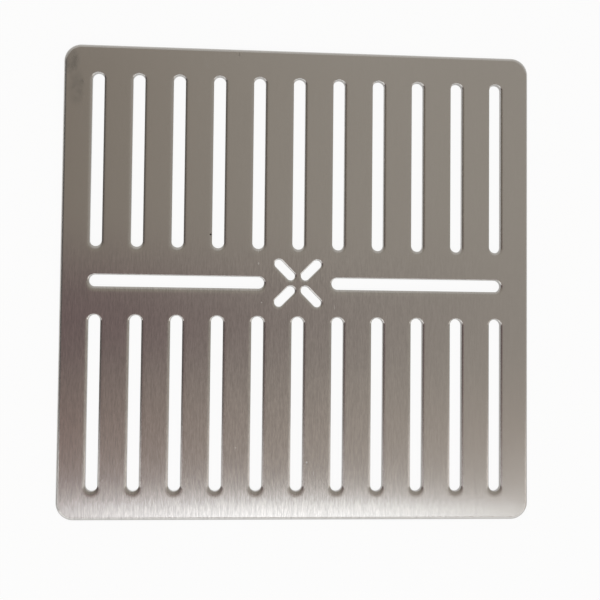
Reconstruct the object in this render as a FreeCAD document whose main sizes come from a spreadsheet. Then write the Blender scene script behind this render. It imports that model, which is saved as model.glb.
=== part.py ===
"""Square shower waste cover: one punched stainless sheet with rows of drain slots.

The sheet lies on the XY plane, its underside at z = 0 and its middle on the Z axis. Upright slots stand
in two rows, one level slot lies on each side of the middle, and four short slots form a cross around it.
The press drew the sheet down a little around every slot, so the upper face rolls over into each slot in
an arc that ends at the slot's straight wall.
"""
import FreeCAD, Part

import math
import os
from collections import namedtuple

import Sketcher

# Driving dimensions in millimetres, and the count of slots in a row
SIZES = {
    "plate_side": 150.0,
    "plate_thickness": 2.0,
    "corner_radius": 5.5,
    "edge_radius": 1.0,
    "border_width": 9.0,
    "slots_per_row": 11,
    "slot_width": 3.8,
    "slot_inset": 10.8,
    "slot_rim_width": 1.4,
    "slot_rim_depth": 0.15,
    "cross_width": 2.9,
    "cross_length": 8.2,
    "cross_inset": 1.9,
    "cross_rim_width": 0.75,
    "cross_rim_depth": 0.1,
}

# Sizes that follow from the driving ones, as expressions on the sheet
SLOT_LENGTH = "(Sizes.plate_side / 2 - Sizes.border_width - Sizes.slot_inset)"
SLOT_MIDDLE = f"(Sizes.slot_inset + {SLOT_LENGTH} / 2)"
OUTER_SLOT = "(Sizes.plate_side / 2 - Sizes.border_width - Sizes.slot_width / 2)"
SLOT_PITCH = f"(2 * {OUTER_SLOT} / (Sizes.slots_per_row - 1))"
CROSS_MIDDLE = "((Sizes.cross_inset + Sizes.cross_length / 2) * cos(45 deg))"
CROSS_SLOTS = 4

# What sets a slot's shape, and where its middle lies with its turn in degrees from the Y axis
SlotShape = namedtuple("SlotShape", "width length rim_width rim_depth")
SlotPlace = namedtuple("SlotPlace", "x y turn")
LONG_SLOT = SlotShape("Sizes.slot_width", SLOT_LENGTH, "Sizes.slot_rim_width", "Sizes.slot_rim_depth")
CROSS_SLOT = SlotShape(
    "Sizes.cross_width", "Sizes.cross_length", "Sizes.cross_rim_width", "Sizes.cross_rim_depth"
)
UPRIGHT_PLACE = SlotPlace(f"-{OUTER_SLOT}", SLOT_MIDDLE, 0)
LEVEL_PLACE = SlotPlace(SLOT_MIDDLE, "0", 90)
CROSS_PLACE = SlotPlace(CROSS_MIDDLE, CROSS_MIDDLE, -45)

# Points of a sketch line or arc
START, END, CENTRE = 1, 2, 3
SKETCH_ORIGIN = (-1, 1)


def make_sheet(doc):
    """Put the driving dimensions into a spreadsheet, one named cell each."""
    sheet = doc.addObject("Spreadsheet::Sheet", "Sizes")
    for row, (name, value) in enumerate(SIZES.items(), start=1):
        sheet.set(f"A{row}", name)
        sheet.set(f"B{row}", str(value))
        sheet.setAlias(f"B{row}", name)
    doc.recompute()


def origin_feature(body, role):
    """Find one of the body's own origin planes or axes by its role."""
    return next(item for item in body.Origin.OriginFeatures if item.Role == role)


def add_sketch(body, name):
    """Add a sketch on the body's XY plane."""
    sketch = body.newObject("Sketcher::SketchObject", name)
    sketch.AttachmentSupport = [(origin_feature(body, "XY_Plane"), "")]
    sketch.MapMode = "FlatFace"
    return sketch


def add_slot_sketch(body, name, place, tilt):
    """Add a sketch whose origin is a slot's middle on the upper face, tilted about its own X axis."""
    sketch = add_sketch(body, name)
    sketch.AttachmentOffset = FreeCAD.Placement(FreeCAD.Vector(), FreeCAD.Rotation(place.turn, 0, tilt))
    sketch.setExpression("AttachmentOffset.Base.x", place.x)
    sketch.setExpression("AttachmentOffset.Base.y", place.y)
    sketch.setExpression("AttachmentOffset.Base.z", "Sizes.plate_thickness")
    return sketch


def constrain(sketch, kind, *where):
    """Add a constraint that has no size."""
    sketch.addConstraint(Sketcher.Constraint(kind, *where))


def dimension(sketch, kind, expression, value, *where):
    """Add a constraint that has a size, starting near its value and bound to the sheet."""
    index = sketch.addConstraint(Sketcher.Constraint(kind, *where, value))
    sketch.setExpression(f"Constraints[{index}]", expression)


def edges_where(feature, test):
    """Name the edges of a feature's shape whose bounding box passes a test."""
    edges = enumerate(feature.Shape.Edges, start=1)
    return [f"Edge{number}" for number, edge in edges if test(edge.BoundBox)]


def add_fillet(body, name, base, edges, radius):
    """Round the named edges of a feature."""
    fillet = body.newObject("PartDesign::Fillet", name)
    fillet.Base = (base, edges)
    fillet.setExpression("Radius", radius)
    return fillet


def add_blank(doc, body):
    """Pad the square sheet, round its corners and ease its upper outer edge."""
    half = SIZES["plate_side"] / 2
    corners = [FreeCAD.Vector(x, y) for x, y in ((-half, -half), (half, -half), (half, half), (-half, half))]
    sketch = add_sketch(body, "BlankOutline")
    for start, end in zip(corners, corners[1:] + corners[:1]):
        sketch.addGeometry(Part.LineSegment(start, end))
    for side in range(len(corners)):
        constrain(sketch, "Coincident", side, END, (side + 1) % len(corners), START)
        constrain(sketch, "Vertical" if side % 2 else "Horizontal", side)
    constrain(sketch, "Symmetric", 0, START, 2, START, *SKETCH_ORIGIN)
    dimension(sketch, "DistanceX", "Sizes.plate_side", 2 * half, 0, START, 0, END)
    dimension(sketch, "DistanceY", "Sizes.plate_side", 2 * half, 1, START, 1, END)

    pad = body.newObject("PartDesign::Pad", "Blank")
    pad.Profile = sketch
    pad.setExpression("Length", "Sizes.plate_thickness")
    doc.recompute()

    middle_height = SIZES["plate_thickness"] / 2
    upright_edges = edges_where(pad, lambda box: box.ZLength > middle_height)
    corner_round = add_fillet(body, "CornerRound", pad, upright_edges, "Sizes.corner_radius")
    doc.recompute()
    upper_edges = edges_where(corner_round, lambda box: box.ZMin > middle_height)
    add_fillet(body, "EdgeRound", corner_round, upper_edges, "Sizes.edge_radius")
    doc.recompute()


def add_slot_outline(body, name, shape, place):
    """Draw a slot on the upper face, its round ends along the sketch's own Y axis."""
    sketch = add_slot_sketch(body, name, place, tilt=0)
    radius = SIZES["slot_width"] / 2
    half_run = 3 * radius
    upper, lower = FreeCAD.Vector(0, half_run), FreeCAD.Vector(0, -half_run)
    across, up = FreeCAD.Vector(radius, 0), FreeCAD.Vector(0, 0, 1)
    right_side, upper_end, left_side, lower_end = outline = range(4)
    sketch.addGeometry(Part.LineSegment(lower + across, upper + across))
    sketch.addGeometry(Part.ArcOfCircle(Part.Circle(upper, up, radius), 0, math.pi))
    sketch.addGeometry(Part.LineSegment(upper - across, lower - across))
    sketch.addGeometry(Part.ArcOfCircle(Part.Circle(lower, up, radius), math.pi, 2 * math.pi))
    for edge in outline:
        constrain(sketch, "Tangent", edge, END, (edge + 1) % len(outline), START)
    constrain(sketch, "Vertical", right_side)
    constrain(sketch, "Equal", upper_end, lower_end)
    constrain(sketch, "Symmetric", upper_end, CENTRE, lower_end, CENTRE, *SKETCH_ORIGIN)
    dimension(sketch, "Radius", f"{shape.width} / 2", radius, upper_end)
    run = f"{shape.length} - {shape.width}"
    dimension(sketch, "DistanceY", run, 2 * half_run, lower_end, CENTRE, upper_end, CENTRE)
    return sketch


def add_rim_section(body, name, shape, place):
    """Draw the corner of metal that a rolled rim lacks, in the upright plane across a slot's middle."""
    sketch = add_slot_sketch(body, name, place, tilt=90)
    wall = SIZES["slot_width"] / 2
    width = SIZES["slot_rim_width"]
    depth = SIZES["slot_rim_depth"]
    radius = (width ** 2 + depth ** 2) / (2 * depth)
    corner = FreeCAD.Vector(wall, 0)
    outer = FreeCAD.Vector(wall + width, 0)
    foot = FreeCAD.Vector(wall, -depth)
    roll_circle = Part.Circle(FreeCAD.Vector(wall + width, -radius), FreeCAD.Vector(0, 0, 1), radius)
    top = math.pi / 2
    face_line, roll_arc, wall_line = range(3)
    sketch.addGeometry(Part.LineSegment(corner, outer))
    sketch.addGeometry(Part.ArcOfCircle(roll_circle, top, top + math.atan2(width, radius - depth)))
    sketch.addGeometry(Part.LineSegment(foot, corner))
    constrain(sketch, "Tangent", face_line, END, roll_arc, START)
    constrain(sketch, "Coincident", roll_arc, END, wall_line, START)
    constrain(sketch, "Coincident", wall_line, END, face_line, START)
    constrain(sketch, "Horizontal", face_line)
    constrain(sketch, "Vertical", wall_line)
    constrain(sketch, "Horizontal", *SKETCH_ORIGIN, face_line, START)
    dimension(sketch, "DistanceX", f"{shape.width} / 2", wall, *SKETCH_ORIGIN, face_line, START)
    dimension(sketch, "DistanceX", shape.rim_width, width, face_line, START, face_line, END)
    dimension(sketch, "DistanceY", shape.rim_depth, depth, wall_line, START, wall_line, END)
    return sketch


def punch_slot(doc, body, name, shape, place):
    """Punch one slot through the sheet and roll its rim all the way round."""
    punch = body.newObject("PartDesign::Pocket", f"{name}Punch")
    outline = add_slot_outline(body, f"{name}Outline", shape, place)
    punch.Profile = outline
    punch.Type = "ThroughAll"
    doc.recompute()
    rim = body.newObject("PartDesign::SubtractivePipe", f"{name}Rim")
    rim.Profile = add_rim_section(body, f"{name}RimSection", shape, place)
    rim.Spine = (outline, ["Edge1", "Edge2", "Edge3", "Edge4"])
    doc.recompute()
    return [punch, rim]


def repeat(body, kind, name, originals):
    """Add a pattern of features to the body and return it, still to be set up."""
    pattern = body.newObject(f"PartDesign::{kind}", name)
    pattern.Originals = originals
    body.Tip = pattern
    return pattern


def add_upright_rows(doc, body):
    """Punch the upright slots, in one row on each side of the middle."""
    slot = punch_slot(doc, body, "Upright", LONG_SLOT, UPRIGHT_PLACE)
    rows = repeat(body, "LinearPattern", "UprightRows", slot)
    rows.Direction = (origin_feature(body, "X_Axis"), [""])
    rows.Mode = "Spacing"
    rows.setExpression("Offset", SLOT_PITCH)
    rows.setExpression("Occurrences", "Sizes.slots_per_row")
    rows.Direction2 = (origin_feature(body, "Y_Axis"), [""])
    rows.Reversed2 = True
    rows.Mode2 = "Spacing"
    rows.setExpression("Offset2", f"2 * {SLOT_MIDDLE}")
    rows.Occurrences2 = 2
    # The second direction keeps an even spacing, as the first does
    rows.Spacings2 = rows.Spacings
    doc.recompute()


def add_level_slots(doc, body):
    """Punch the level slot on each side of the middle."""
    slot = punch_slot(doc, body, "Level", LONG_SLOT, LEVEL_PLACE)
    pair = repeat(body, "Mirrored", "LevelPair", slot)
    pair.MirrorPlane = (origin_feature(body, "YZ_Plane"), [""])
    doc.recompute()


def add_cross(doc, body):
    """Punch the short slots that form a cross around the middle."""
    slot = punch_slot(doc, body, "Cross", CROSS_SLOT, CROSS_PLACE)
    cross = repeat(body, "PolarPattern", "CrossSlots", slot)
    cross.Axis = (origin_feature(body, "Z_Axis"), [""])
    cross.Occurrences = CROSS_SLOTS
    doc.recompute()


def check(doc, bodies):
    """Stop if any object failed to build or a sub-part's shape isn't one sound solid."""
    for item in doc.Objects:
        if {"Invalid", "Error"} & set(item.State):
            raise RuntimeError(f"{item.Name} failed: {item.State}")
    for body in bodies:
        shape = body.Shape
        if shape.isNull() or not shape.isValid() or len(shape.Solids) != 1:
            raise RuntimeError(f"{body.Label} has no sound solid")


def main():
    """Build the cover and write it out."""
    doc = FreeCAD.newDocument("ShowerWasteCover")
    make_sheet(doc)
    body = doc.addObject("PartDesign::Body", "WasteCover")
    body.Label = "waste_cover"
    body.Placement = FreeCAD.Placement()
    add_blank(doc, body)
    add_upright_rows(doc, body)
    add_level_slots(doc, body)
    add_cross(doc, body)
    check(doc, [body])
    os.makedirs("parts", exist_ok=True)
    body.Shape.exportStep(f"parts/{body.Label}.step")
    print(f"{body.Label}: {body.Shape.Volume:.1f} mm3")


main()
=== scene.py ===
"""Looks of a square shower waste cover: one punched and brushed stainless sheet that lies on a pale floor.

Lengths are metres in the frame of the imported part: the underside lies at z = 0, the middle stands on the Z
axis and the brushed grain runs along Y. Sizes in millimetres are written as a number times MM.
"""
import logging
import math
from dataclasses import dataclass
from enum import Enum
from itertools import pairwise
from typing import Any, NamedTuple

import bmesh
import bpy
from mathutils import Euler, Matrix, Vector


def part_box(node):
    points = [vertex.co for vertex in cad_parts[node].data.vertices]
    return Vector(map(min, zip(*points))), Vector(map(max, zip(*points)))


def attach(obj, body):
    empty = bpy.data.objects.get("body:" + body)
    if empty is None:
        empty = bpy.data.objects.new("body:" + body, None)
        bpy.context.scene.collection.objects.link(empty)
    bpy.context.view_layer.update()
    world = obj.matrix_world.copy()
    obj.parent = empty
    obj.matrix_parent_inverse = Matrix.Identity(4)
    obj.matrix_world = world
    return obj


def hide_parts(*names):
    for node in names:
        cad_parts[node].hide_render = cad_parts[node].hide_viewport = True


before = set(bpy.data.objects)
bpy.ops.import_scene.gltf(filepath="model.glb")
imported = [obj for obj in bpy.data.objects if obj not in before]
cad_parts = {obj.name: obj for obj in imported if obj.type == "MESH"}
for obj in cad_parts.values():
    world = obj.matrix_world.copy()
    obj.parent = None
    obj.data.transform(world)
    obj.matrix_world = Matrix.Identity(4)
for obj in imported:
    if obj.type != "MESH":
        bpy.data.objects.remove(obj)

LOG = logging.getLogger("waste_cover")
NODE = "waste_cover"
BODY = "root"

Colour = tuple[float, float, float]
Point = tuple[float, float, float]
Size = tuple[float, float, float]
Span = tuple[float, float]
Settings = dict[str, Any]
Sockets = dict[Any, Any]

MM = 0.001
QUARTER_TURN = math.pi / 2
WHITE: Colour = (1.0, 1.0, 1.0)
NOISE_MEAN = 0.5
NOISE_SPAN: Span = (0.3, 0.7)


def opaque(colour: Colour, share: float = 1.0) -> tuple[float, float, float, float]:
    """Take a share of a colour's brightness, with the full alpha that a colour socket needs."""
    red, green, blue = [part * share for part in colour]
    return red, green, blue, 1.0


def select_only(*pieces: bpy.types.Object) -> None:
    """Select some objects alone.

    Args:
        pieces: The objects, of which the first becomes the active one.
    """
    bpy.ops.object.select_all(action="DESELECT")
    for piece in pieces:
        piece.select_set(True)
    bpy.context.view_layer.objects.active = pieces[0]


class Axis(Enum):
    """A direction, by its number among a vector's parts."""

    ACROSS = 0
    ALONG = 1
    UP = 2


@dataclass(frozen=True)
class Pattern:
    """A noise: the size of its features along X, Y and Z, and how many finer layers it has."""

    size: Size
    detail: float


class Signal:
    """A number that changes over a surface, on which arithmetic adds Math nodes."""

    def __init__(self, graph: "Graph", socket: bpy.types.NodeSocket) -> None:
        """Wrap an output socket of a graph's node."""
        self.graph = graph
        self.socket = socket

    def combine(self, operation: str, first: Any, second: Any) -> "Signal":
        """Join two values, each a signal or a number, with a Math node."""
        return self.graph.signal("Math", {"operation": operation}, {0: first, 1: second})

    def __add__(self, other: Any) -> "Signal":
        """Add a value."""
        return self.combine("ADD", self, other)

    def __radd__(self, other: Any) -> "Signal":
        """Be added to a number."""
        return self.combine("ADD", other, self)

    def __sub__(self, other: Any) -> "Signal":
        """Take away a value."""
        return self.combine("SUBTRACT", self, other)

    def __rsub__(self, other: Any) -> "Signal":
        """Be taken from a number."""
        return self.combine("SUBTRACT", other, self)

    def __mul__(self, other: Any) -> "Signal":
        """Multiply by a value."""
        return self.combine("MULTIPLY", self, other)

    def __rmul__(self, other: Any) -> "Signal":
        """Multiply a number."""
        return self.combine("MULTIPLY", other, self)

    def __or__(self, other: Any) -> "Signal":
        """Take the larger of two values."""
        return self.combine("MAXIMUM", self, other)

    def smooth(self, start: float, full: float) -> "Signal":
        """Rise smoothly from 0 to 1.

        Args:
            start: The value that gives 0.
            full: The value that gives 1, which may be below the start.

        Returns:
            A mask from 0 to 1.
        """
        settings = {"interpolation_type": "SMOOTHSTEP"}
        sockets = {"Value": self, "From Min": min(start, full), "From Max": max(start, full)}
        rise = self.graph.signal("MapRange", settings, sockets)
        return rise if start < full else 1.0 - rise


class Graph:
    """The node tree of a material or of the world."""

    def __init__(self, tree: bpy.types.NodeTree) -> None:
        """Start from an empty tree."""
        tree.nodes.clear()
        self.tree = tree

    def node(self, kind: str, settings: Settings, sockets: Sockets) -> bpy.types.Node:
        """Add a node.

        Args:
            kind: The node's type, without the words that all shader nodes start with.
            settings: The node's own settings, which are set first.
            sockets: A value, signal or output socket for each input that is used.

        Returns:
            The node.
        """
        node = self.tree.nodes.new(f"ShaderNode{kind}")
        for name, value in settings.items():
            setattr(node, name, value)
        for name, value in sockets.items():
            source = value.socket if isinstance(value, Signal) else value
            if isinstance(source, bpy.types.NodeSocket):
                self.tree.links.new(source, node.inputs[name])
            else:
                node.inputs[name].default_value = source
        return node

    def signal(self, kind: str, settings: Settings, sockets: Sockets, output: Any = 0) -> Signal:
        """Add a node and take the output of this name or number as a signal."""
        return Signal(self, self.node(kind, settings, sockets).outputs[output])

    def parts(self, vector: bpy.types.NodeSocket) -> list[Signal]:
        """Split a vector into its parts along X, Y and Z."""
        split = self.node("SeparateXYZ", {}, {"Vector": vector})
        return [Signal(self, output) for output in split.outputs]

    def noise(self, place: bpy.types.NodeSocket, pattern: Pattern) -> Signal:
        """Add a noise.

        Args:
            place: The coordinates that it follows.
            pattern: Its features.

        Returns:
            The noise, whose average is NOISE_MEAN and which lies mostly within NOISE_SPAN.
        """
        scale = [1.0 / length for length in pattern.size]
        mapped = self.node("Mapping", {}, {"Vector": place, "Scale": scale}).outputs["Vector"]
        sockets = {"Vector": mapped, "Scale": 1.0, "Detail": pattern.detail}
        return self.signal("TexNoise", {}, sockets, "Fac")

    def ellipse(self, place: bpy.types.NodeSocket, middle: Point, reach: Size, core: float) -> Signal:
        """Mask a soft ellipse.

        Args:
            place: The coordinates that it lies in.
            middle: Its middle.
            reach: Half its size along X, Y and Z.
            core: The share of its reach that it fills wholly.

        Returns:
            A mask that is 1 over the core and falls to 0 at the reach.
        """
        sockets = {"Vector": place, "Location": middle, "Scale": reach}
        local = self.node("Mapping", {"vector_type": "TEXTURE"}, sockets).outputs["Vector"]
        distance = self.signal("VectorMath", {"operation": "LENGTH"}, {0: local}, "Value")
        return distance.smooth(1.0, core)

    def blend(self, factor: Signal, first: Any, second: Any) -> bpy.types.NodeSocket:
        """Mix two colours.

        Args:
            factor: The share of the second colour.
            first: A colour or a colour socket.
            second: A colour or a colour socket.

        Returns:
            The mixed colour.
        """
        factor_input, first_input, second_input, colour_output = 0, 6, 7, 2
        sockets = {factor_input: factor, first_input: first, second_input: second}
        return self.node("Mix", {"data_type": "RGBA"}, sockets).outputs[colour_output]


def new_material(name: str) -> tuple[bpy.types.Material, Graph]:
    """Make a material with an empty node tree.

    Args:
        name: The material's name.

    Returns:
        The material and its nodes.
    """
    material = bpy.data.materials.new(name)
    material.use_nodes = True
    return material, Graph(material.node_tree)


@dataclass(frozen=True)
class MarkLook:
    """The colour of a kind of mark, and how much rougher than the steel it is."""

    colour: Colour
    roughness: float


class MarkKind(Enum):
    """A kind of mark on the steel, each kind over those before it."""

    PIT = MarkLook(colour=(0.05, 0.045, 0.04), roughness=0.3)
    # Darker, duller grey patches by the upper left corner
    STAIN = MarkLook(colour=(0.30, 0.288, 0.266), roughness=0.15)
    # Not metal: small white spots and thin white lines
    SPECK = MarkLook(colour=(0.95, 0.95, 0.94), roughness=0.3)


@dataclass(frozen=True)
class Mark:
    """A small mark on the upper face, a soft ellipse.

    Attributes:
        kind: What kind of mark it is.
        x: Where its middle lies along X.
        y: Where its middle lies along Y.
        width: Its size along X.
        length: Its size along Y.
        strength: How much of the steel's own look it covers at its middle.
        core: The share of its reach that has this strength.
    """

    kind: MarkKind
    x: float
    y: float
    width: float
    length: float
    strength: float
    core: float = 0.3

    def mask(self, graph: Graph, place: bpy.types.NodeSocket) -> Signal:
        """Shade the mark.

        Args:
            graph: The material's nodes.
            place: The surface's coordinates.

        Returns:
            The mark's strength at its middle, falling to 0 at its rim.
        """
        any_height = 1.0
        reach = (self.width / 2, self.length / 2, any_height)
        return graph.ellipse(place, (self.x, self.y, 0.0), reach, self.core) * self.strength


@dataclass(frozen=True)
class Steel:
    """What the finishes of the steel share."""

    colour: Colour
    roughness: float

    def start(self, name: str) -> tuple[bpy.types.Material, Graph, bpy.types.NodeSocket]:
        """Make an empty material, and give its nodes and the coordinates of the piece that wears it."""
        material, graph = new_material(name)
        return material, graph, graph.node("TexCoord", {}, {}).outputs["Object"]

    def shader(self, graph: Graph, sockets: Sockets) -> None:
        """Add the metal's shader, with these inputs besides a metal's own, and the material's output."""
        metal = graph.node("BsdfPrincipled", {}, {"Metallic": 1.0, **sockets})
        graph.node("OutputMaterial", {}, {"Surface": metal.outputs["BSDF"]})


@dataclass(frozen=True)
class BrushedFace(Steel):
    """Hairline brushing along Y, on the upper face and over its rolled rims.

    Each hairline leans a little along Y, so it shows where the reflections change. Towards +Y and towards
    +X the grain is worn down to a share of its depth.

    Attributes:
        anisotropy: How far the brushing stretches reflections.
        grain_map: The UV map that the brushing follows.
        fine_grain: The pattern of the finer hairlines.
        coarse_grain: The pattern of the coarser hairlines.
        grain_tone: How much lighter or darker than the steel the hairlines get.
        grain_roughness: How much smoother or rougher they get.
        grain_lean: How far they lean, as a slope.
        worn_grain: The share of the grain's depth that is left where it is worn.
        worn_along: Where along Y the grain is worn, and where it is fresh.
        worn_across: Where along X the grain is worn, and where it is fresh.
        cloud: The pattern of smoother and rougher patches.
        cloud_roughness: How far the patches' roughness differs.
        rim_roughness: How much rougher the sloping rims are.
        rim_lift: The normal's part along Z where that starts, and where it is full.
        marks: The small marks on the face.
        blotch: The pattern that breaks up the dark patches.
    """

    anisotropy: float
    grain_map: str
    fine_grain: Pattern
    coarse_grain: Pattern
    grain_tone: float
    grain_roughness: float
    grain_lean: float
    worn_grain: float
    worn_along: Span
    worn_across: Span
    cloud: Pattern
    cloud_roughness: float
    rim_roughness: float
    rim_lift: Span
    marks: tuple[Mark, ...]
    blotch: Pattern

    def grain(self, graph: Graph, place: bpy.types.NodeSocket) -> Signal:
        """Draw the hairlines.

        Args:
            graph: The material's nodes.
            place: The surface's coordinates.

        Returns:
            The grain, 0 on average and from -0.5 to 0.5 where it is fresh.
        """
        patterns = (self.fine_grain, self.coarse_grain)
        fine, coarse = [graph.noise(place, pattern).smooth(*NOISE_SPAN) for pattern in patterns]
        across, along, _ = graph.parts(place)
        fresh = along.smooth(*self.worn_along) * across.smooth(*self.worn_across)
        depth = self.worn_grain + fresh * (1.0 - self.worn_grain)
        return ((fine + coarse) * 0.5 - NOISE_MEAN) * depth

    def leaning(self, graph: Graph, normal: bpy.types.NodeSocket, grain: Signal) -> bpy.types.NodeSocket:
        """Lean the hairlines.

        Args:
            graph: The material's nodes.
            normal: The surface's normal.
            grain: The hairlines.

        Returns:
            The normal with the grain's lean.
        """
        lean = graph.node("CombineXYZ", {}, {"Y": grain * -self.grain_lean}).outputs["Vector"]
        both = graph.node("VectorMath", {"operation": "ADD"}, {0: normal, 1: lean}).outputs["Vector"]
        return graph.node("VectorMath", {"operation": "NORMALIZE"}, {0: both}).outputs["Vector"]

    def marked(self, graph: Graph, place: bpy.types.NodeSocket, kind: MarkKind) -> Signal:
        """Join the masks of all the marks of one kind.

        Args:
            graph: The material's nodes.
            place: The surface's coordinates.
            kind: The kind of mark.

        Returns:
            Their joint mask.
        """
        joint, *others = [mark.mask(graph, place) for mark in self.marks if mark.kind is kind]
        for other in others:
            joint = joint | other
        return joint

    def masks(self, graph: Graph, place: bpy.types.NodeSocket) -> dict[MarkKind, Signal]:
        """Mask the marks of each kind, with the dark patches broken up into blotches.

        Args:
            graph: The material's nodes.
            place: The surface's coordinates.

        Returns:
            Each kind's mask.
        """
        masks = {kind: self.marked(graph, place, kind) for kind in MarkKind}
        blotch = graph.noise(place, self.blotch).smooth(*NOISE_SPAN)
        masks[MarkKind.STAIN] *= 1.0 - NOISE_MEAN + blotch
        return masks

    def material(self) -> bpy.types.Material:
        """Make the material.

        Returns:
            The material.
        """
        material, graph, place = self.start("brushed_face")
        grain = self.grain(graph, place)
        dark, light = [opaque(self.colour, 1.0 + tone) for tone in (-self.grain_tone, self.grain_tone)]
        colour = graph.blend(grain + NOISE_MEAN, dark, light)
        patches = graph.noise(place, self.cloud) - NOISE_MEAN
        roughness = self.roughness - grain * self.grain_roughness + patches * self.cloud_roughness
        normal = graph.node("NewGeometry", {}, {}).outputs["Normal"]
        rim = graph.parts(normal)[Axis.UP.value].smooth(*self.rim_lift)
        roughness = roughness + rim * self.rim_roughness
        masks = self.masks(graph, place)
        for kind, mask in masks.items():
            colour = graph.blend(mask, colour, opaque(kind.value.colour))
            roughness = roughness + mask * kind.value.roughness
        tangent = graph.node("Tangent", {"direction_type": "UV_MAP", "uv_map": self.grain_map}, {})
        self.shader(graph, {
            "Base Color": colour,
            "Roughness": roughness,
            "Metallic": 1.0 - masks[MarkKind.SPECK],
            "Normal": self.leaning(graph, normal, grain),
            "Anisotropic": self.anisotropy,
            "Tangent": tangent.outputs["Tangent"],
        })
        return material


@dataclass(frozen=True)
class PlainSteel(Steel):
    """Steel as the punch or the rolling mill left it, with one pattern all over.

    Attributes:
        name: The finish's name.
        pattern: The pattern of score lines or clouds.
        dark: The share of the steel's brightness that the pattern leaves where it is darkest.
        roughness_swing: How far the pattern changes the roughness.
    """

    name: str
    pattern: Pattern
    dark: float
    roughness_swing: float

    def material(self) -> bpy.types.Material:
        """Make the material.

        Returns:
            The material.
        """
        material, graph, place = self.start(self.name)
        pattern = graph.noise(place, self.pattern)
        colour = graph.blend(pattern, opaque(self.colour, self.dark), opaque(self.colour))
        roughness = self.roughness + (pattern - NOISE_MEAN) * self.roughness_swing
        self.shader(graph, {"Base Color": colour, "Roughness": roughness})
        return material


@dataclass(frozen=True)
class Loop:
    """A closed line on an edge: the radius of its round corners, its height and how far it is drawn."""

    radius: float
    height: float
    drawn_x: float = 0.0
    drawn_y: float = 0.0

    def middle(self) -> Vector:
        """Find the loop's middle."""
        return Vector((self.drawn_x, self.drawn_y, self.height))


def arc(centre: Span, radius: float, start: float, end: float, steps: int) -> list[Loop]:
    """Take loops along an arc of an edge's section.

    Args:
        centre: The arc's centre, as a loop radius and a height.
        radius: The arc's radius, below zero where the loops shrink as the arc goes down.
        start: The first loop's angle from straight up.
        end: The last loop's angle.
        steps: How many loops follow the first.

    Returns:
        The loops.
    """
    angles = [start + (end - start) * step / steps for step in range(steps + 1)]
    across, up = centre
    return [Loop(across + radius * math.sin(a), up + abs(radius) * math.cos(a)) for a in angles]


@dataclass(frozen=True)
class Outline:
    """A closed line of round corners joined by straight runs: a circle whose corners were moved apart.

    Attributes:
        reach_x: How far the corners' centres lie from the middle along X.
        reach_y: How far they lie from it along Y.
        points: How many points the circle has.
    """

    reach_x: float
    reach_y: float
    points: int

    def corners(self) -> list[Vector]:
        """Find the centres of the round corners.

        Returns:
            The centres, as steps from the outline's middle.
        """
        signs = (-1, 1)
        centres = {(x * self.reach_x, y * self.reach_y) for x in signs for y in signs}
        return [Vector((x, y, 0.0)) for x, y in sorted(centres)]

    def select(self, ring: list[int], middle: Vector, corner: Vector) -> None:
        """Select the points of a ring that belong to a corner, or the whole ring where the corner is zero.

        Args:
            ring: The numbers of the ring's points in the mesh being edited.
            middle: The ring's middle.
            corner: The corner's centre, as a step from the middle.
        """
        mesh = bmesh.from_edit_mesh(bpy.context.edit_object.data)
        mesh.verts.ensure_lookup_table()
        for vertex in mesh.verts:
            vertex.select = False
        for number in ring:
            step = mesh.verts[number].co - middle
            mesh.verts[number].select = step.x * corner.x >= 0 and step.y * corner.y >= 0
        mesh.select_flush_mode()
        bmesh.update_edit_mesh(bpy.context.edit_object.data)

    def selected(self) -> list[int]:
        """List the numbers of the selected points."""
        mesh = bmesh.from_edit_mesh(bpy.context.edit_object.data)
        return [vertex.index for vertex in mesh.verts if vertex.select]

    def loft(self, name: str, loops: list[Loop]) -> bpy.types.Object:
        """Model the edge that runs through some loops, one above or inside the other.

        Args:
            name: The object's name.
            loops: The loops in order.

        Returns:
            The open ring of faces, around the origin.
        """
        whole = Vector()
        middle = loops[0].middle()
        half_step = math.pi / self.points
        bpy.ops.object.select_all(action="DESELECT")
        bpy.ops.mesh.primitive_circle_add(
            vertices=self.points, radius=loops[0].radius, location=middle, rotation=(0, 0, half_step)
        )
        piece = bpy.context.object
        piece.name = name
        bpy.ops.object.transform_apply()
        bpy.ops.object.mode_set(mode="EDIT")
        bpy.ops.mesh.select_mode(type="VERT")
        ring = self.selected()
        for corner in self.corners():
            self.select(ring, middle, corner)
            bpy.ops.transform.translate(value=corner)
        self.select(ring, middle, whole)
        for last, following in pairwise(loops):
            middle = following.middle()
            bpy.ops.mesh.extrude_region_move(TRANSFORM_OT_translate={"value": middle - last.middle()})
            ring = self.selected()
            share = following.radius / last.radius
            for corner in self.corners():
                self.select(ring, middle, corner)
                bpy.ops.transform.resize(value=(share, share, 1), center_override=middle + corner)
            self.select(ring, middle, whole)
        bpy.ops.object.mode_set(mode="OBJECT")
        return piece


class Station(NamedTuple):
    """A point of a slot's section: its distance from the wall, its drop and how far its line is drawn."""

    across: float
    drop: float
    drawn: float

    def sink(self, inner: "Station", sweep: float, steps: int) -> list["Station"]:
        """Sink towards a station nearer to the wall, as a power of the way to it.

        Args:
            inner: The station nearer to the wall.
            sweep: The power.
            steps: How many steps the way has.

        Returns:
            The stations on the way, from this one up to the last before the inner one.
        """
        stations = []
        for step in range(steps):
            done = step / steps
            across = inner.across + (self.across - inner.across) * (1 - done)
            drop = self.drop + (inner.drop - self.drop) * done ** sweep
            drawn = inner.drawn + (self.drawn - inner.drawn) * (1 - done)
            stations.append(Station(across, drop, drawn))
        return stations


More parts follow.
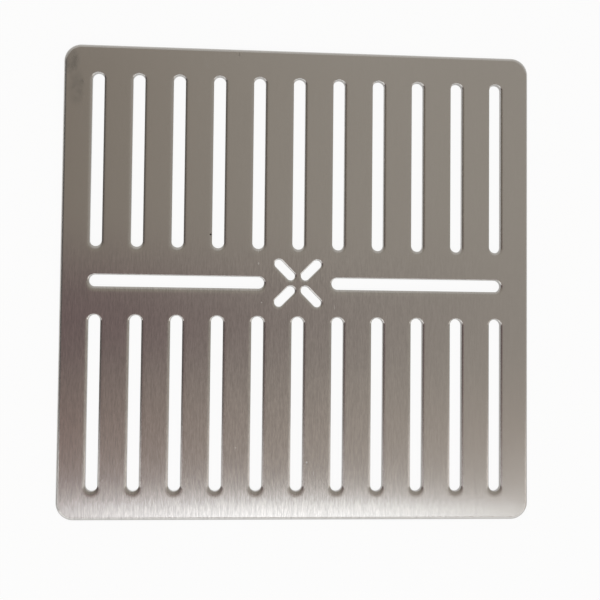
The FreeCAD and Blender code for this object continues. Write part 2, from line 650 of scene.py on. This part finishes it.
@dataclass(frozen=True)
class Slot:
    """A punched slot: round ends, a faint dish, a rim that sinks faster and a smooth lip above its wall.

    The brushing drew the dishes and the rims out towards -Y, so they are wider below a slot than above it.

    Attributes:
        width: The slot's width between its walls.
        length: Its length over its round ends.
        rim_width: How far the rim reaches from the wall.
        rim_depth: How far the face has sunk at the lip, over the dish and the rim.
        rim_drawn: How far the rim's outer line is drawn out.
        dish_width: How far the dish reaches beyond the rim.
        dish_depth: How far the face has sunk where the rim starts.
        dish_drawn: How far the dish's outer line is drawn out beyond the rim's.
        lip_radius: The lip's radius.
        thickness: The sheet's thickness.
        points: How many points each loop around the slot has.
        rim_sweep: The power of the way across it by which the rim sinks.
        dish_sweep: The same for the dish.
        rim_steps: How many loops the rim has.
        dish_steps: How many loops the dish has.
        lip_steps: How many steps the lip's arc has.
    """

    width: float
    length: float
    rim_width: float
    rim_depth: float
    rim_drawn: float
    dish_width: float
    dish_depth: float
    dish_drawn: float
    lip_radius: float
    thickness: float
    points: int
    rim_sweep: float = 1.5
    dish_sweep: float = 3.0
    rim_steps: int = 10
    dish_steps: int = 6
    lip_steps: int = 5

    def loops(self, turn: float) -> list[Loop]:
        """Take the slot's section from the flat face over the rim and the lip and down its wall.

        Args:
            turn: The slot's turn from the Y axis in its place.

        Returns:
            The loops around the slot's middle, before its turn.
        """
        wall = self.width / 2
        lean = math.atan(self.rim_sweep * (self.rim_depth - self.dish_depth) / self.rim_width)
        outer = Station(self.rim_width + self.dish_width, 0.0, self.rim_drawn + self.dish_drawn)
        bend = Station(self.rim_width, self.dish_depth, self.rim_drawn)
        inner = Station(self.lip_radius * (1 - math.sin(lean)), self.rim_depth, 0.0)
        dish = outer.sink(bend, self.dish_sweep, self.dish_steps)
        rim = bend.sink(inner, self.rim_sweep, self.rim_steps)
        sunk = []
        for across, drop, drawn in dish + rim:
            shift = (-drawn * math.sin(turn), -drawn * math.cos(turn))
            sunk.append(Loop(wall + across, self.thickness - drop, *shift))
        lip_height = self.thickness - self.rim_depth - self.lip_radius * math.cos(lean)
        centre = (wall + self.lip_radius, lip_height)
        lip = arc(centre, -self.lip_radius, lean, QUARTER_TURN, self.lip_steps)
        return sunk + lip + [Loop(wall, 0.0)]

    def model(self, turn: float) -> bpy.types.Object:
        """Model the slot's edge around the origin, its long side along Y, for a place with this turn."""
        outline = Outline(0.0, (self.length - self.width) / 2, self.points)
        return outline.loft(f"slot_{math.degrees(turn):.0f}", self.loops(turn))


@dataclass(frozen=True)
class Place:
    """Where a slot's middle lies, and its turn from the Y axis."""

    x: float
    y: float
    turn: float


@dataclass(frozen=True)
class WasteCover:
    """The whole cover: a square sheet with two rows of upright slots, two level slots and a cross of four.

    Attributes:
        side: The sheet's side.
        thickness: Its thickness.
        corner_radius: The radius of its corners, seen from above.
        edge_radius: The radius that rounds its upper outer edge.
        border: The plain width from its sides to the slots.
        inset: How far from the middle lines the rows and the level slots start.
        slots_per_row: How many slots a row has.
        slot: The upright and level slots.
        cross_slot: The slots of the cross.
        cross_inset: How far from the middle the slots of the cross start.
        cross_arms: How many slots the cross has.
        corner_points: How many points the outline has.
        edge_steps: How many steps the rounded edge has.
        face: The finish of the upper face and the outer side.
        wall: The finish of the slots' walls.
        underside: The finish of the underside.
        level_reach: How far from a height a point may lie and still count as level with it.
        merge_reach: How far apart points may lie and still be merged.
        sharp_angle: The angle between faces from which their edge stays sharp.
        upper_lift: The normal's part along Z above which a face belongs to the upper face.
        under_lift: The normal's part along Z below which a face belongs to the underside.
    """

    side: float
    thickness: float
    corner_radius: float
    edge_radius: float
    border: float
    inset: float
    slots_per_row: int
    slot: Slot
    cross_slot: Slot
    cross_inset: float
    cross_arms: int
    corner_points: int
    edge_steps: int
    face: BrushedFace
    wall: PlainSteel
    underside: PlainSteel
    level_reach: float = 0.01 * MM
    merge_reach: float = 0.0001 * MM
    sharp_angle: float = math.radians(40)
    upper_lift: float = 0.1
    under_lift: float = -0.5

    def long_places(self) -> list[Place]:
        """Place the upright slots and the level ones.

        Returns:
            The places of the upper row, the lower row and the level slots.
        """
        middle = (self.inset + self.side / 2 - self.border) / 2
        outer = self.side / 2 - self.border - self.slot.width / 2
        pitch = 2 * outer / (self.slots_per_row - 1)
        across = [-outer + pitch * number for number in range(self.slots_per_row)]
        upright = [Place(x, y, 0.0) for y in (middle, -middle) for x in across]
        level = [Place(x, 0.0, QUARTER_TURN) for x in (-middle, middle)]
        return upright + level

    def cross_places(self) -> list[Place]:
        """Place the short slots of the cross.

        Returns:
            Their places, on the diagonals.
        """
        reach = self.cross_inset + self.cross_slot.length / 2
        turns = [QUARTER_TURN / 2 + QUARTER_TURN * arm for arm in range(self.cross_arms)]
        return [Place(-reach * math.sin(turn), reach * math.cos(turn), turn) for turn in turns]

    def punch(self, slot: Slot, places: list[Place]) -> list[bpy.types.Object]:
        """Model a slot for each turn among its places, and copy it to the places with that turn.

        Args:
            slot: The slot.
            places: Where the copies go.

        Returns:
            The copies, each with its own mesh.
        """
        copies = []
        for turn in sorted({place.turn for place in places}):
            model = slot.model(turn)
            for place in [place for place in places if place.turn == turn]:
                select_only(model)
                bpy.ops.object.duplicate()
                copy = bpy.context.object
                copy.location = (place.x, place.y, 0.0)
                copy.rotation_euler = (0.0, 0.0, turn)
                bpy.ops.object.transform_apply()
                copies.append(copy)
            bpy.data.objects.remove(model)
        return copies

    def outer_edge(self) -> bpy.types.Object:
        """Model the sheet's rounded outer edge and its side.

        Returns:
            The open ring of faces.
        """
        reach = self.side / 2 - self.corner_radius
        inner = self.corner_radius - self.edge_radius
        centre = (inner, self.thickness - self.edge_radius)
        loops = arc(centre, self.edge_radius, 0.0, QUARTER_TURN, self.edge_steps)
        outline = Outline(reach, reach, self.corner_points)
        return outline.loft(NODE, loops + [Loop(self.corner_radius, 0.0)])

    def close_face(self, height: float) -> None:
        """Fill the open loops at a height with one flat face around all the slots.

        Args:
            height: The height.
        """
        mesh = bmesh.from_edit_mesh(bpy.context.edit_object.data)
        for edge in mesh.edges:
            level = all(abs(vertex.co.z - height) < self.level_reach for vertex in edge.verts)
            edge.select_set(level and edge.is_boundary)
        bmesh.update_edit_mesh(bpy.context.edit_object.data)
        bpy.ops.mesh.fill(use_beauty=True)

    def close_sheet(self, piece: bpy.types.Object) -> None:
        """Close the sheet above and below, turn its faces outwards and lay the grain's map on it.

        Args:
            piece: The joined edges of the sheet and its slots.
        """
        select_only(piece)
        bpy.ops.object.mode_set(mode="EDIT")
        bpy.ops.mesh.select_mode(type="EDGE")
        for height in (self.thickness, 0.0):
            bpy.ops.mesh.select_all(action="DESELECT")
            self.close_face(height)
        bpy.ops.mesh.select_all(action="SELECT")
        bpy.ops.mesh.remove_doubles(threshold=self.merge_reach)
        bpy.ops.mesh.normals_make_consistent(inside=False)
        bpy.ops.uv.cube_project(cube_size=self.side)
        bpy.ops.object.mode_set(mode="OBJECT")
        piece.data.uv_layers.active.name = self.face.grain_map

    def smooth(self, piece: bpy.types.Object) -> None:
        """Shade the rolled edges smooth, with the flat faces kept flat up to them.

        Args:
            piece: The closed sheet.
        """
        select_only(piece)
        bpy.ops.object.shade_smooth_by_angle(angle=self.sharp_angle)
        modifier = piece.modifiers.new("flat_faces", "WEIGHTED_NORMAL")
        modifier.keep_sharp = True
        bpy.ops.object.modifier_apply(modifier=modifier.name)

    def dress(self, piece: bpy.types.Object) -> None:
        """Give the upper face, the walls and the underside their finishes.

        Args:
            piece: The closed sheet.
        """
        finishes = (self.face, self.wall, self.underside)
        upper, wall, under = range(len(finishes))
        piece.data.materials.clear()
        for finish in finishes:
            piece.data.materials.append(finish.material())
        for face in piece.data.polygons:
            outside = max(abs(face.center.x), abs(face.center.y)) > (self.side - self.border) / 2
            if face.normal.z > self.upper_lift:
                face.material_index = upper
            elif face.normal.z < self.under_lift:
                face.material_index = under
            else:
                face.material_index = upper if outside else wall

    def build(self) -> bpy.types.Object:
        """Model the cover, dress it and let it stand for its CAD node.

        Returns:
            The finished piece.
        """
        slots = self.punch(self.slot, self.long_places())
        slots += self.punch(self.cross_slot, self.cross_places())
        piece = self.outer_edge()
        select_only(piece, *slots)
        bpy.ops.object.join()
        self.close_sheet(piece)
        self.smooth(piece)
        self.dress(piece)
        piece.name = "brushed_cover"
        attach(piece, BODY)
        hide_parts(NODE)
        LOG.info("%d slots, %d faces", len(slots), len(piece.data.polygons))
        return piece


@dataclass(frozen=True)
class Floor:
    """A plain pale floor that looks white to the camera and still takes the sheet's shadow.

    Attributes:
        size: Its side.
        drop: How far it lies below the sheet.
        colour: Its own colour.
        whiteness: The share of plain white that the camera sees in it.
        glint: The share of plain white that the steel mirrors.
    """

    size: float
    drop: float
    colour: Colour
    whiteness: float
    glint: float

    def material(self) -> bpy.types.Material:
        """Make the floor's material.

        Returns:
            The material.
        """
        material, graph = new_material("pale_floor")
        path = graph.node("LightPath", {}, {})
        seen, mirrored = [Signal(graph, path.outputs[f"Is {kind} Ray"]) for kind in ("Camera", "Glossy")]
        white_share = seen * self.whiteness | mirrored * self.glint
        matt = graph.node("BsdfDiffuse", {}, {"Color": opaque(self.colour)})
        white = graph.node("Emission", {}, {"Color": opaque(WHITE), "Strength": 1.0})
        sockets = {0: white_share, 1: matt.outputs["BSDF"], 2: white.outputs["Emission"]}
        mixed = graph.node("MixShader", {}, sockets)
        graph.node("OutputMaterial", {}, {"Surface": mixed.outputs["Shader"]})
        return material

    def build(self) -> bpy.types.Object:
        """Lay the floor just under the sheet.

        Returns:
            The floor.
        """
        bpy.ops.object.select_all(action="DESELECT")
        bpy.ops.mesh.primitive_plane_add(size=self.size, location=(0, 0, -self.drop))
        bpy.ops.object.transform_apply()
        floor = bpy.context.object
        floor.name = "floor"
        floor.data.materials.append(self.material())
        return floor


@dataclass(frozen=True)
class Wall:
    """A wall of the room.

    Attributes:
        colour: Its colour.
        axis: The axis along which it begins.
        edge: A direction's part along this axis where the wall starts, and where it is full.
    """

    colour: Colour
    axis: Axis
    edge: Span


@dataclass(frozen=True)
class Studio:
    """A soft room: a warm ceiling, brighter on the right than on the left, between plain walls.

    Each half of the ceiling has a colour towards the far end and one towards the near end. A shade over the
    camera darkens the ceiling around straight up.

    Attributes:
        left_far: The ceiling's colour on the left, towards the far end.
        right_far: Its colour on the right, towards the far end.
        left_near: Its colour on the left, towards the near end.
        right_near: Its colour on the right, towards the near end.
        left_to_right: A direction's part along X where the left colour ends, and where the right starts.
        far_to_near: A direction's part along Y where the far colour ends, and where the near starts.
        shade: The shade's colour.
        shade_middle: The shade's middle, as slopes from straight up.
        shade_reach: Its reach, as slopes too.
        shade_core: The share of its reach that it darkens most.
        shade_depth: How much of the ceiling's colour it covers there.
        walls: The walls, each over those before it.
        least_rise: The rise of a direction below which its slope counts as the same.
    """

    left_far: Colour
    right_far: Colour
    left_near: Colour
    right_near: Colour
    left_to_right: Span
    far_to_near: Span
    shade: Colour
    shade_middle: Span
    shade_reach: Span
    shade_core: float
    shade_depth: float
    walls: tuple[Wall, ...]
    least_rise: float = 0.01

    def shaded(self, graph: Graph, direction: bpy.types.NodeSocket, up: Signal) -> Signal:
        """Mask the part of the ceiling that the shade covers.

        Args:
            graph: The world's nodes.
            direction: The direction that is seen.
            up: Its part along Z.

        Returns:
            The shade's depth at its middle, falling to 0 at its rim.
        """
        rise = up | self.least_rise
        slope = graph.node("VectorMath", {"operation": "DIVIDE"}, {0: direction, 1: rise}).outputs["Vector"]
        middle, reach = (*self.shade_middle, 1.0), (*self.shade_reach, 1.0)
        return graph.ellipse(slope, middle, reach, self.shade_core) * self.shade_depth

    def build(self) -> bpy.types.World:
        """Make the world.

        Returns:
            The world.
        """
        world = bpy.data.worlds.new("studio")
        world.use_nodes = True
        bpy.context.scene.world = world
        graph = Graph(world.node_tree)
        direction = graph.node("TexCoord", {}, {}).outputs["Generated"]
        parts = graph.parts(direction)
        across, along, up = parts
        right = across.smooth(*self.left_to_right)
        far = graph.blend(right, opaque(self.left_far), opaque(self.right_far))
        near = graph.blend(right, opaque(self.left_near), opaque(self.right_near))
        colour = graph.blend(along.smooth(*self.far_to_near), far, near)
        colour = graph.blend(self.shaded(graph, direction, up), colour, opaque(self.shade))
        for wall in self.walls:
            share = parts[wall.axis.value].smooth(*wall.edge)
            colour = graph.blend(share, colour, opaque(wall.colour))
        light = graph.node("Background", {}, {"Color": colour, "Strength": 1.0})
        graph.node("OutputWorld", {}, {"Surface": light.outputs["Background"]})
        return world


@dataclass(frozen=True)
class Softbox:
    """A rectangular lamp that hangs level and faces down.

    Attributes:
        name: Its name.
        place: Where its middle hangs.
        width: Its size along X.
        length: Its size along Y.
        radiance: How bright it looks from below.
        colour: The colour of its light.
    """

    name: str
    place: Point
    width: float
    length: float
    radiance: float
    colour: Colour

    def build(self) -> bpy.types.Object:
        """Hang the lamp.

        Returns:
            The lamp.
        """
        light = bpy.data.lights.new(self.name, "AREA")
        light.shape = "RECTANGLE"
        light.size = self.width
        light.size_y = self.length
        light.energy = self.radiance * math.pi * self.width * self.length
        light.color = self.colour
        lamp = bpy.data.objects.new(self.name, light)
        lamp.location = self.place
        bpy.context.scene.collection.objects.link(lamp)
        return lamp


@dataclass(frozen=True)
class Viewpoint:
    """The camera: above the sheet, a little left of its middle and below it.

    Attributes:
        place: Where it stands.
        turn_degrees: Its turns about X, Y and Z from straight down.
        lens: Its focal length in millimetres.
        nearest: The nearest distance that it sees.
        turn_order: The order of its turns.
    """

    place: Point
    turn_degrees: tuple[float, float, float]
    lens: float
    nearest: float = 1 * MM
    turn_order: str = "ZYX"

    def build(self) -> bpy.types.Object:
        """Set the camera up and make it the scene's own.

        Returns:
            The camera.
        """
        camera = bpy.data.objects.new("camera", bpy.data.cameras.new("camera"))
        camera.data.lens = self.lens
        camera.data.clip_start = self.nearest
        camera.location = self.place
        camera.rotation_mode = self.turn_order
        turns = [math.radians(turn) for turn in self.turn_degrees]
        camera.rotation_euler = Euler(turns, self.turn_order)
        bpy.context.scene.collection.objects.link(camera)
        bpy.context.scene.camera = camera
        return camera


# Finishes of the steel
STEEL: Colour = (0.60, 0.585, 0.565)
MARKS = (
    Mark(MarkKind.PIT, -28.0 * MM, 15.1 * MM, 0.85 * MM, 0.85 * MM, strength=1.0),
    Mark(MarkKind.PIT, -19.6 * MM, 73.2 * MM, 0.4 * MM, 1.6 * MM, strength=0.35),
    # Small white spots and thin white lines along Y
    Mark(MarkKind.SPECK, -12.7 * MM, 6.1 * MM, 0.6 * MM, 0.7 * MM, strength=0.5),
    Mark(MarkKind.SPECK, -11.6 * MM, -6.3 * MM, 0.6 * MM, 0.6 * MM, strength=0.35),
    Mark(MarkKind.SPECK, -19.3 * MM, -52.3 * MM, 0.6 * MM, 0.7 * MM, strength=0.3),
    Mark(MarkKind.SPECK, -12.7 * MM, 10.2 * MM, 0.3 * MM, 2.6 * MM, strength=0.2),
    Mark(MarkKind.SPECK, 3.3 * MM, -56.9 * MM, 0.6 * MM, 0.7 * MM, strength=0.9),
    Mark(MarkKind.SPECK, 5.5 * MM, -60.4 * MM, 0.3 * MM, 2.0 * MM, strength=0.3),
    Mark(MarkKind.SPECK, 11.8 * MM, -7.6 * MM, 0.3 * MM, 2.2 * MM, strength=0.3),
    Mark(MarkKind.SPECK, -29.9 * MM, 69.3 * MM, 0.3 * MM, 2.0 * MM, strength=0.2),
    # Darker patches by the left edge, near the upper left corner
    Mark(MarkKind.STAIN, -69.5 * MM, 62.3 * MM, 2.4 * MM, 4.6 * MM, strength=0.5),
    Mark(MarkKind.STAIN, -71.0 * MM, 61.0 * MM, 6.5 * MM, 15.0 * MM, strength=0.25),
    Mark(MarkKind.STAIN, -72.6 * MM, 69.5 * MM, 6.0 * MM, 11.0 * MM, strength=0.45),
)
FACE = BrushedFace(
    colour=STEEL,
    roughness=0.2,
    anisotropy=0.95,
    grain_map="grain",
    fine_grain=Pattern((0.25 * MM, 1.6 * MM, 1.6 * MM), detail=1.0),
    coarse_grain=Pattern((0.36 * MM, 4 * MM, 4 * MM), detail=1.0),
    grain_tone=0.13,
    grain_roughness=0.01,
    grain_lean=0.0007,
    worn_grain=0.12,
    worn_along=(16 * MM, 0 * MM),
    worn_across=(90 * MM, -25 * MM),
    cloud=Pattern((30 * MM, 45 * MM, 45 * MM), detail=2.0),
    cloud_roughness=0.05,
    rim_roughness=0.05,
    rim_lift=(0.99995, 0.9985),
    marks=MARKS,
    blotch=Pattern((1.6 * MM, 2.4 * MM, 2.4 * MM), detail=3.0),
)
SHEARED_WALL = PlainSteel(
    colour=STEEL,
    roughness=0.38,
    name="sheared_wall",
    pattern=Pattern((0.25 * MM, 0.25 * MM, 3 * MM), detail=2.0),
    dark=0.85,
    roughness_swing=0.2,
)
MILL_FACE = PlainSteel(
    colour=STEEL,
    roughness=0.36,
    name="mill_face",
    pattern=Pattern((12 * MM, 30 * MM, 12 * MM), detail=4.0),
    dark=0.93,
    roughness_swing=0.15,
)

# The cover and its slots
LOW_CORNER, HIGH_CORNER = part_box(NODE)
THICKNESS = HIGH_CORNER.z - LOW_CORNER.z
LONG_SLOT = Slot(
    width=3.8 * MM,
    length=55.2 * MM,
    rim_width=0.7 * MM,
    rim_depth=0.15 * MM,
    rim_drawn=0.5 * MM,
    dish_width=0.75 * MM,
    dish_depth=0.01 * MM,
    dish_drawn=0.45 * MM,
    lip_radius=0.2 * MM,
    thickness=THICKNESS,
    points=48,
)
CROSS_SLOT = Slot(
    width=2.9 * MM,
    length=8.2 * MM,
    rim_width=0.55 * MM,
    rim_depth=0.1 * MM,
    rim_drawn=0.3 * MM,
    dish_width=0.2 * MM,
    dish_depth=0.003 * MM,
    dish_drawn=0.1 * MM,
    lip_radius=0.15 * MM,
    thickness=THICKNESS,
    points=40,
)
COVER = WasteCover(
    side=HIGH_CORNER.x - LOW_CORNER.x,
    thickness=THICKNESS,
    corner_radius=5.5 * MM,
    edge_radius=1.0 * MM,
    border=9.0 * MM,
    inset=10.8 * MM,
    slots_per_row=11,
    slot=LONG_SLOT,
    cross_slot=CROSS_SLOT,
    cross_inset=1.9 * MM,
    cross_arms=4,
    corner_points=80,
    edge_steps=8,
    face=FACE,
    wall=SHEARED_WALL,
    underside=MILL_FACE,
)

# The floor, the room, the lamps and the camera
FLOOR = Floor(size=120.0, drop=0.1 * MM, colour=(0.9, 0.9, 0.9), whiteness=0.93, glint=0.5)
LEFT_WALL = Wall((0.10, 0.095, 0.09), Axis.ACROSS, (-0.30, -0.50))
FAR_END = Wall((0.62, 0.60, 0.57), Axis.ALONG, (0.30, 0.36))
NEAR_END = Wall(WHITE, Axis.ALONG, (-0.36, -0.62))
LOW_WALL = Wall(WHITE, Axis.UP, (0.16, 0.06))
STUDIO = Studio(
    left_far=(0.277, 0.229, 0.185),
    right_far=(0.4545, 0.422, 0.379),
    left_near=(0.205, 0.10, 0.09),
    right_near=(0.492, 0.443, 0.393),
    left_to_right=(-0.15, 0.04),
    far_to_near=(-0.01, -0.06),
    shade=(0.125, 0.051, 0.075),
    shade_middle=(-0.363, 0.0265),
    shade_reach=(0.579, 0.0927),
    shade_core=0.4,
    shade_depth=0.9,
    walls=(LEFT_WALL, FAR_END, NEAR_END, LOW_WALL),
)
LAMPS = (
    Softbox("key_lamp", (0.062, -0.296, 1.0), 0.544, 0.18, radiance=1.75, colour=(0.89, 0.945, 1.0)),
    Softbox("left_lamp", (-1.0, -0.675, 1.0), 1.1, 1.05, radiance=1.0, colour=WHITE),
    Softbox("right_lamp", (1.15, -0.675, 1.0), 1.1, 1.05, radiance=0.8, colour=WHITE),
)
VIEW = Viewpoint(
    place=(-29.99 * MM, -21.95 * MM, 352.0 * MM),
    turn_degrees=(2.715, -5.003, 0.808),
    lens=66.13,
)


def main() -> None:
    """Build the cover and its setting, and log what was built."""
    logging.basicConfig(level=logging.INFO, format="%(name)s: %(message)s")
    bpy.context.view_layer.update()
    bpy.context.scene.view_settings.view_transform = "Standard"
    for maker in (COVER, FLOOR, STUDIO, *LAMPS, VIEW):
        piece = maker.build()
        LOG.info("%s built as %s", type(maker).__name__, piece.name)


if __name__ == "__main__":
    main()
